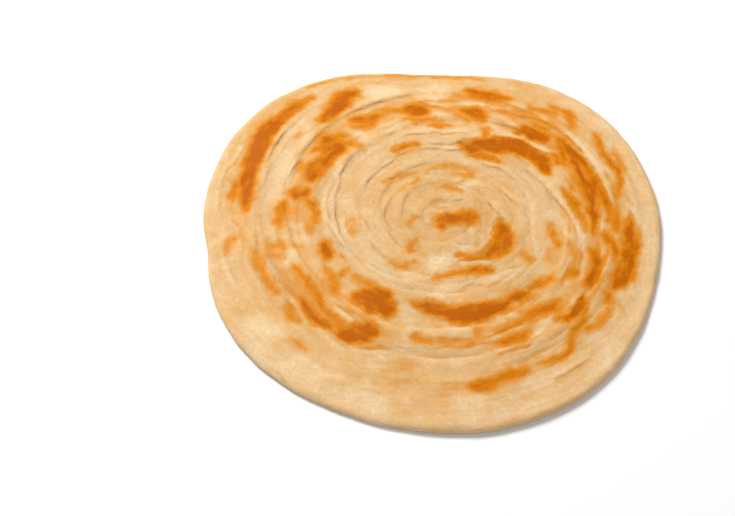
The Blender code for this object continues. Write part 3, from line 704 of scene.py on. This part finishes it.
def section():
    """Rings of the plain bread, from the top's middle over the rim to the underside's middle, as arrays: radius,
    height, and how far the ring belongs to the top, which is 1 there and 0 on the underside."""
    roll_start, flat_end = MEAN_RADIUS - RIM_ROLL, MEAN_RADIUS - FOOT_ROLL
    rings = []
    steps = round(roll_start / TOP_STEP)
    for i in range(1, steps + 1):
        share = i / steps
        fall = float(smooth_step((share - EDGE_FROM) / (1.0 - EDGE_FROM)))
        rings.append((roll_start * share, CRUMB_HEIGHT - (CRUMB_HEIGHT - EDGE_HEIGHT) * fall, 1.0))
    for i in range(1, ROLL_STEPS + 1):
        turn = math.radians(QUARTER * i / ROLL_STEPS)
        height = WIDEST_HEIGHT + (EDGE_HEIGHT - WIDEST_HEIGHT) * math.cos(turn)
        rings.append((roll_start + RIM_ROLL * math.sin(turn), height, (1.0 + math.cos(turn)) / 2.0))
    for i in range(1, FOOT_STEPS + 1):
        turn = math.radians(QUARTER * i / FOOT_STEPS)
        height = WIDEST_HEIGHT * (1.0 - math.sin(turn))
        rings.append((flat_end + FOOT_ROLL * math.cos(turn), height, (1.0 - math.sin(turn)) / 2.0))
    steps = round(flat_end / UNDER_STEP)
    rings += [(flat_end * (1.0 - i / steps), 0.0, 0.0) for i in range(1, steps)]
    return np.array(rings).T


def spread(radius):
    """The places of all the points on the rings: every ring has a point in each of the same directions."""
    degrees, radius = np.meshgrid(np.arange(SECTORS) * FULL_TURN / SECTORS, radius)
    share = radius / MEAN_RADIUS
    at = SimpleNamespace(degrees=degrees, share=share, distance=share * rim_distance(degrees))
    at.x, at.y = at.distance * np.cos(np.radians(degrees)), at.distance * np.sin(np.radians(degrees))
    return at


def top_surface(at):
    """Relief, lean, crease and toast of the top at all the points."""
    shape = at.distance.shape
    top = SimpleNamespace(height=np.zeros(shape), crease=np.zeros(shape), crest=np.zeros(shape), lean=np.zeros(shape))
    stray = sum(amount * ripple(at, size, seed) for size, amount, seed in WANDER)
    top.toast, top.floury = top_toast(at)
    calm = 1.0 - PRESSED * smooth_step((top.toast - 0.3) / 0.35)
    add_seams(top, at, stray, calm)
    add_ledges(top, at, stray)
    add_loose_layers(top, at, stray, calm)
    add_thin_layers(top, at, calm)
    # Crests are toasted less: paler dough, which adds to the painted highlight along them.
    top.toast *= 1.0 - 0.45 * np.clip(top.crest, 0.0, 1.0)
    top.height += pocket_swell(at) + TOAST_SWELL * top.toast
    top.height += 0.22 * ripple(at, 17.0, 131, 2) + 0.09 * ripple(at, 2.6, 141, 2)
    top.height += 0.3 * ripple(at, 8.0, 145, 2) * smooth_step((at.distance - 70.0) / 12.0)
    return top


def under_surface(at):
    """How far the underside stands off the table, and its toast. Its middle lies flat."""
    lip = 0.0
    start, radii = SEAMS[0]
    whole = QUARTER * (len(radii) - 1)
    stray = sum(amount * ripple(at, size, seed + 300) for size, amount, seed in WANDER)
    wound = (at.degrees - start) % FULL_TURN
    for turn in range(math.ceil(whole / FULL_TURN)):
        winding = wound + FULL_TURN * turn
        outwards = at.distance + stray - seam_radius(radii, np.minimum(winding, whole))
        lip = lip + np.exp(-((outwards / 1.6) ** 2)) * (winding < whole)
    toast = under_toast(at)
    hollow = 0.35 * np.clip(lip, 0.0, 1.0) + 0.25 * np.clip(ripple(at, 9.0, 231), 0.0, 1.0) * (1.0 - toast)
    inside = smooth_step((1.0 - at.share) / 0.06)
    return hollow * inside, toast


def under_lid(height, lid, soft=0.5):
    """The heights, with those near the lid eased down so that none reaches it."""
    over = np.maximum(height - (lid - soft), 0.0)
    return np.minimum(height, lid - soft) + soft * (1.0 - np.exp(-over / soft))


def ring_faces(rings):
    """Faces between the rings, with a fan at both ends. The middles of the top and underside come after the rings."""
    faces = []
    for ring in range(rings - 1):
        inner, outer = ring * SECTORS, (ring + 1) * SECTORS
        for j in range(SECTORS):
            k = (j + 1) % SECTORS
            faces.append((inner + j, outer + j, outer + k, inner + k))
    top_middle, under_middle, last = rings * SECTORS, rings * SECTORS + 1, (rings - 1) * SECTORS
    for j in range(SECTORS):
        k = (j + 1) % SECTORS
        faces.append((top_middle, j, k))
        faces.append((under_middle, last + k, last + j))
    return faces


def unfold(mesh, degrees, radius, height_share):
    """A flat map of the top with the rim, and beside it one of the underside."""
    first_under = int(np.argmax(height_share == 0.0))
    rings = len(radius)
    arc = np.concatenate([[0.0], np.cumsum(np.hypot(np.diff(radius[: first_under + 1]), 0.6))])
    top_reach, under_reach = 0.355, 0.215
    reach = np.zeros(rings)
    reach[: first_under + 1] = top_reach * (arc + radius[0]) / (arc[-1] + radius[0])
    under = under_reach * radius / radius[first_under]
    angle = np.radians(degrees)
    uv = mesh.uv_layers.new(name="OFBake")
    corners = np.zeros((len(mesh.loops), 2))
    loop_vertex = np.zeros(len(mesh.loops), int)
    mesh.loops.foreach_get("vertex_index", loop_vertex)
    starts, totals = np.zeros(len(mesh.polygons), int), np.zeros(len(mesh.polygons), int)
    mesh.polygons.foreach_get("loop_start", starts)
    mesh.polygons.foreach_get("loop_total", totals)
    loop_face = np.repeat(np.arange(len(totals)), totals)
    ring_of, sector_of = loop_vertex // SECTORS, loop_vertex % SECTORS
    is_middle = ring_of >= rings
    ring_of = np.minimum(ring_of, rings - 1)
    outermost = np.zeros(len(totals), int)
    np.maximum.at(outermost, loop_face, np.where(is_middle, 0, ring_of))
    below = outermost[loop_face] > first_under
    below |= is_middle & (loop_vertex % SECTORS == 1)
    distance = np.where(below, under[ring_of], reach[ring_of])
    distance = np.where(is_middle, 0.0, distance)
    centre = np.where(below, 1.0 - under_reach - 0.01, top_reach + 0.01)
    corners[:, 0] = centre + distance * np.cos(angle[sector_of])
    corners[:, 1] = centre + distance * np.sin(angle[sector_of])
    uv.data.foreach_set("uv", corners.ravel())


def make_bread(lid):
    """The whole bread as one closed mesh, with what its material needs at every point."""
    radius, height, belongs = section()
    at = spread(radius)
    top = top_surface(at)
    hollow, brown_under = under_surface(at)
    belongs_to_top = belongs[:, None] * np.ones(SECTORS)
    on_top = smooth_step(belongs_to_top)

    ragged = 0.004 * (1.0 + ripple(at, 14.0, 151)) + 0.0012 * (1.0 + ripple(at, 4.0, 155))
    shrink = 1.0 - 0.001 - ragged * smooth_step((at.share - 0.8) / 0.2)
    lean = top.lean * on_top * smooth_step(at.distance / 8.0)
    distance = at.distance * shrink - lean
    angle = np.radians(at.degrees)
    x, y = distance * np.cos(angle), distance * np.sin(angle)
    z = height[:, None] + on_top * top.height + (1.0 - on_top) * hollow * (belongs_to_top < 0.5)
    z = np.maximum(under_lid(z + edge_curl(at.share, at.degrees), lid), 0.0)

    middle_top = (0.0, 0.0, float(z[0].mean()))
    middle_under = (0.0, 0.0, float(z[-1].mean()))
    offset = coil_offset()
    points = np.concatenate([np.stack([x.ravel(), y.ravel(), z.ravel()], 1), [middle_top, middle_under]])
    points[:, 0] += offset[0]
    points[:, 1] += offset[1]

    mesh = bpy.data.meshes.new("baked_paratha")
    mesh.from_pydata((points * MM).tolist(), [], ring_faces(len(radius)))
    mesh.shade_smooth()
    upper = smooth_step(2.0 * belongs_to_top)
    toast = top.toast * upper + brown_under * (1.0 - upper)
    # The underside's hollows get the crease colour too: painted shade where they stand off the table.
    crease = np.clip(top.crease, 0.0, 1.0) * on_top + 0.5 * np.clip(hollow / 0.35, 0.0, 1.0) * (1.0 - on_top)
    fields = {
        "toast": toast,
        "floury": top.floury * on_top,
        "raw": raw_dough(at) * on_top,
        "crease": crease,
        "crest": np.clip(top.crest, 0.0, 1.0) * on_top,
        "layer": top.layer,
        "flaky": top.flaky,
    }
    for name, values in fields.items():
        attribute = mesh.attributes.new(name, "FLOAT", "POINT")
        attribute.data.foreach_set("value", np.concatenate([values.ravel(), [values[0].mean(), values[-1].mean()]]))
    unfold(mesh, at.degrees[0], radius, belongs)
    bread = bpy.data.objects.new("baked_paratha", mesh)
    bpy.context.scene.collection.objects.link(bread)
    return bread


# ---------------------------------------------------------------- materials


class Nodes:
    """Adds and links the nodes of one material."""

    def __init__(self, name):
        self.material = bpy.data.materials.new(name)
        self.material.use_nodes = True
        self.tree = self.material.node_tree
        self.surface = self.tree.nodes["Principled BSDF"]

    def feed(self, socket, value):
        """Links a socket to another, or sets it to a plain value."""
        if isinstance(value, bpy.types.NodeSocket):
            self.tree.links.new(value, socket)
        elif value is not None:
            socket.default_value = value

    def add(self, kind, *inputs, output=0, **settings):
        """Adds a node, feeds its inputs in order and gives one of its outputs."""
        node = self.tree.nodes.new(kind)
        for name, value in settings.items():
            setattr(node, name, value)
        for socket, value in zip(node.inputs, inputs):
            self.feed(socket, value)
        return node.outputs[output]

    def maths(self, operation, *inputs, clamp=False):
        return self.add("ShaderNodeMath", *inputs, operation=operation, use_clamp=clamp)

    def attribute(self, name):
        return self.add("ShaderNodeAttribute", attribute_name=name, output=2)

    def noise(self, vector, scale, detail=3.0, roughness=0.55):
        node = self.tree.nodes.new("ShaderNodeTexNoise")
        self.feed(node.inputs["Vector"], vector)
        for name, value in (("Scale", scale), ("Detail", detail), ("Roughness", roughness)):
            node.inputs[name].default_value = value
        return node.outputs["Fac"]

    def map_range(self, value, low, high, to_low=0.0, to_high=1.0, smooth=True):
        kind = "SMOOTHSTEP" if smooth else "LINEAR"
        return self.add("ShaderNodeMapRange", value, low, high, to_low, to_high, interpolation_type=kind)

    def mix(self, share, first, second, blend="MIX"):
        node = self.tree.nodes.new("ShaderNodeMix")
        node.data_type, node.blend_type = "RGBA", blend
        self.feed(node.inputs[0], share)
        self.feed(node.inputs[6], first)
        self.feed(node.inputs[7], second)
        return node.outputs[2]

    def ramp(self, value, stops):
        node = self.tree.nodes.new("ShaderNodeValToRGB")
        self.feed(node.inputs[0], value)
        elements = node.color_ramp.elements
        while len(elements) < len(stops):
            elements.new(1.0)
        for element, (place, colour) in zip(elements, stops):
            element.position, element.color = place, colour
        return node.outputs[0]


def screen_colour(red, green, blue):
    """A colour given as it shows on a screen, 0 to 255, in the renderer's linear units."""
    shares = (value / 255.0 for value in (red, green, blue))
    return (*(v / 12.92 if v <= 0.04045 else ((v + 0.055) / 1.055) ** 2.4 for v in shares), 1.0)


TOAST_COLOURS = (  # how brown, and the colour on a screen
    (0.00, (227, 193, 149)),
    (0.12, (221, 179, 125)),
    (0.28, (219, 167, 101)),
    (0.48, (218, 146, 64)),
    (0.68, (214, 132, 28)),
    (0.86, (206, 116, 3)),
    (1.00, (186, 94, 0)),
)
PALE_SMEAR = screen_colour(235, 207, 164)  # where the flour shows
PAINTED_CREASE_SHADE = (0.70, 0.57, 0.42, 1.0)  # painted shade: how much darker a crease between layers is painted
CREST_PALE_AND_HIGHLIGHT = screen_colour(238, 202, 150)  # along a layer's edge: paler dough with a painted highlight
RAW_TINT = (0.90, 0.92, 0.95, 1.0)  # by which underdone dough is greyer
# Painted shade across one thin layer: dark under the riser at its foot, and a painted highlight on the edge above it.
LAYER_PAINTED_SHADES = ((0.00, 0.82), (0.07, 0.88), (0.22, 1.05), (0.50, 1.00), (0.86, 0.94), (1.00, 0.86))


def bread_material(offset):
    """Layered wheat dough: cream where pale, golden to brown where it lay on the pan, with a thin film of oil."""
    nodes = Nodes("toasted_flaky_dough")
    toast, crease, flaky = (nodes.attribute(name) for name in ("toast", "crease", "flaky"))

    place = nodes.add("ShaderNodeTexCoord", output=3)
    about_coil = nodes.add(
        "ShaderNodeVectorMath", place, (-offset[0] * MM, -offset[1] * MM, 0.0), operation="ADD"
    )
    flat = nodes.add("ShaderNodeVectorMath", about_coil, (1.0, 1.0, 0.0), operation="MULTIPLY")
    distance = nodes.add("ShaderNodeVectorMath", flat, operation="LENGTH", output=1)
    stretch = nodes.maths("DIVIDE", 9.0, nodes.maths("MAXIMUM", distance, 22.0 * MM))
    drawn_out = nodes.add("ShaderNodeVectorMath", flat, None, None, stretch, operation="SCALE")
    parts = nodes.tree.nodes.new("ShaderNodeSeparateXYZ")
    nodes.feed(parts.inputs[0], drawn_out)
    across = nodes.maths("MULTIPLY", distance, 1.0 / (1.9 * MM))
    along_coil = nodes.add("ShaderNodeCombineXYZ", parts.outputs[0], parts.outputs[1], across)

    streak = nodes.noise(along_coil, 1.0, 3.0)
    grain = nodes.noise(place, 700.0, 4.0, 0.6)
    blotch = nodes.noise(place, 260.0, 3.0)

    # Toast with a fine broken edge.
    lively = nodes.map_range(toast, 0.0, 0.3)
    wave = nodes.maths("MULTIPLY_ADD", streak, 0.16, -0.08)
    wave = nodes.maths("MULTIPLY_ADD", grain, 0.24, wave)
    wave = nodes.maths("MULTIPLY_ADD", blotch, 0.36, wave)
    wave = nodes.maths("SUBTRACT", wave, 0.30)
    broken = nodes.maths("MULTIPLY_ADD", wave, lively, toast)
    speck = nodes.maths("MULTIPLY_ADD", streak, 0.10, -0.05)
    shade = nodes.maths("ADD", broken, speck, clamp=True)
    baked = nodes.ramp(shade, [(at, screen_colour(*colour)) for at, colour in TOAST_COLOURS])

    # Each thin layer has its own tone, with painted shade at its foot and a painted highlight on its edge.
    ragged = nodes.maths("MULTIPLY_ADD", grain, 0.14, nodes.attribute("layer"))
    part = nodes.maths("FRACT", ragged)
    edge = nodes.ramp(part, [(at, (value, value, value, 1.0)) for at, value in LAYER_PAINTED_SHADES])
    own = nodes.add("ShaderNodeTexWhiteNoise", None, nodes.maths("FLOOR", ragged), noise_dimensions="1D")
    layered = nodes.mix(nodes.maths("MULTIPLY", flaky, 0.6), baked, edge, "MULTIPLY")
    own_tone = nodes.mix(own, (0.89, 0.88, 0.87, 1.0), (1.04, 1.04, 1.04, 1.0))
    toned = nodes.mix(flaky, layered, own_tone, "MULTIPLY")

    # Painted shade in the creases between turns, and painted highlights on paler dough along the edges of their lips.
    crease_shade_share = nodes.maths("MULTIPLY", crease, nodes.map_range(streak, 0.25, 0.7, 0.3, 0.9))
    crease_shaded = nodes.mix(crease_shade_share, toned, PAINTED_CREASE_SHADE, "MULTIPLY")
    crest_share = nodes.maths("MULTIPLY", nodes.attribute("crest"), nodes.map_range(shade, 0.25, 0.6, 0.55, 0.0))
    crested = nodes.mix(crest_share, crease_shaded, CREST_PALE_AND_HIGHLIGHT)
    greyed = nodes.mix(nodes.attribute("raw"), crested, RAW_TINT, "MULTIPLY")
    smear = nodes.map_range(nodes.noise(place, 110.0, 3.0), 0.56, 0.72, 0.0, 0.35)
    smear = nodes.maths("MULTIPLY_ADD", nodes.attribute("floury"), 0.75, smear)
    smear = nodes.maths("MULTIPLY", smear, nodes.map_range(shade, 0.1, 0.4, 1.0, 0.0))
    smeared = nodes.mix(smear, greyed, PALE_SMEAR)
    speckle = nodes.map_range(grain, 0.3, 0.7, 0.89, 1.07, smooth=False)
    speckle = nodes.add("ShaderNodeCombineColor", speckle, speckle, speckle)
    nodes.feed(nodes.surface.inputs["Base Color"], nodes.mix(1.0, smeared, speckle, "MULTIPLY"))

    # Oil lies in the toasted places, so these are the smoother ones.
    rough = nodes.map_range(shade, 0.0, 0.9, 0.62, 0.44)
    nodes.feed(nodes.surface.inputs["Roughness"], nodes.maths("MULTIPLY_ADD", grain, 0.16, rough))
    nodes.surface.inputs["Specular IOR Level"].default_value = 0.08
    nodes.surface.inputs["Specular Tint"].default_value = (1.0, 0.82, 0.6, 1.0)
    nodes.surface.inputs["Subsurface Weight"].default_value = 0.1
    nodes.surface.inputs["Subsurface Radius"].default_value = (1.0, 0.55, 0.25)
    nodes.surface.inputs["Subsurface Scale"].default_value = 2.0 * MM

    # Crumb-fine relief.
    relief = nodes.maths("MULTIPLY_ADD", streak, 0.7, nodes.maths("MULTIPLY", grain, 0.5))
    bump = nodes.tree.nodes.new("ShaderNodeBump")
    bump.inputs["Strength"].default_value = 0.65
    bump.inputs["Distance"].default_value = 0.35 * MM
    nodes.feed(bump.inputs["Height"], relief)
    nodes.feed(nodes.surface.inputs["Normal"], bump.outputs[0])
    return nodes.material


def floor_material():
    """Plain pale studio floor."""
    nodes = Nodes("studio_floor")
    nodes.surface.inputs["Base Color"].default_value = (0.90, 0.90, 0.895, 1.0)
    nodes.surface.inputs["Roughness"].default_value = 0.9
    nodes.surface.inputs["Specular IOR Level"].default_value = 0.1
    return nodes.material


# ---------------------------------------------------------------- stage

CAMERA_ELEVATION = 52.0
CAMERA_DISTANCE = 800.0
CAMERA_LENS = 99.1  # on a sensor 36 mm wide
AIM_FROM_COIL = (-29.5, -18.6)  # the bread is seen to the right of the picture's middle
AIM_HEIGHT = 4.7
FLOOR_SIZE = 6000.0


def make_camera(offset):
    elevation = math.radians(CAMERA_ELEVATION)
    aim = (offset[0] + AIM_FROM_COIL[0], offset[1] + AIM_FROM_COIL[1], AIM_HEIGHT)
    data = bpy.data.cameras.new("view")
    data.lens, data.sensor_width = CAMERA_LENS, 36.0
    camera = bpy.data.objects.new("view", data)
    camera.location = (
        aim[0] * MM,
        (aim[1] - CAMERA_DISTANCE * math.cos(elevation)) * MM,
        (aim[2] + CAMERA_DISTANCE * math.sin(elevation)) * MM,
    )
    camera.rotation_euler = (math.radians(QUARTER) - elevation, 0.0, 0.0)
    bpy.context.scene.collection.objects.link(camera)
    bpy.context.scene.camera = camera


def make_floor():
    half = FLOOR_SIZE / 2.0 * MM
    mesh = bpy.data.meshes.new("floor")
    mesh.from_pydata([(-half, -half, 0.0), (half, -half, 0.0), (half, half, 0.0), (-half, half, 0.0)], [], [(0, 1, 2, 3)])
    mesh.materials.append(floor_material())
    floor = bpy.data.objects.new("floor", mesh)
    bpy.context.scene.collection.objects.link(floor)


def make_light(name, place, size, power):
    """A square soft light, turned to face the bread."""
    data = bpy.data.lights.new(name, "AREA")
    data.size, data.energy = size, power
    light = bpy.data.objects.new(name, data)
    light.location = place
    x, y, z = place
    light.rotation_euler = (0.0, math.atan2(math.hypot(x, y), z), math.atan2(y, x))
    bpy.context.scene.collection.objects.link(light)


def make_lights():
    make_light("overhead", (-0.55, 0.75, 1.1), 0.6, 21.8)
    make_light("fill", (0.5, -1.1, 1.2), 1.4, 4.5)
    world = bpy.context.scene.world or bpy.data.worlds.new("studio")
    bpy.context.scene.world = world
    world.use_nodes = True
    background = world.node_tree.nodes["Background"]
    background.inputs["Color"].default_value = (1.0, 1.0, 1.0, 1.0)
    background.inputs["Strength"].default_value = 0.36


def main():
    offset = coil_offset()
    low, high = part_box("paratha")
    bread = make_bread(high[2] / MM - 0.02)
    bread.data.materials.append(bread_material(offset))
    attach(bread, "root")
    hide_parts("paratha")
    make_floor()
    make_camera(offset)
    make_lights()
    bpy.context.scene.view_settings.view_transform = "Standard"


main()
bpy.context.view_layer.update()
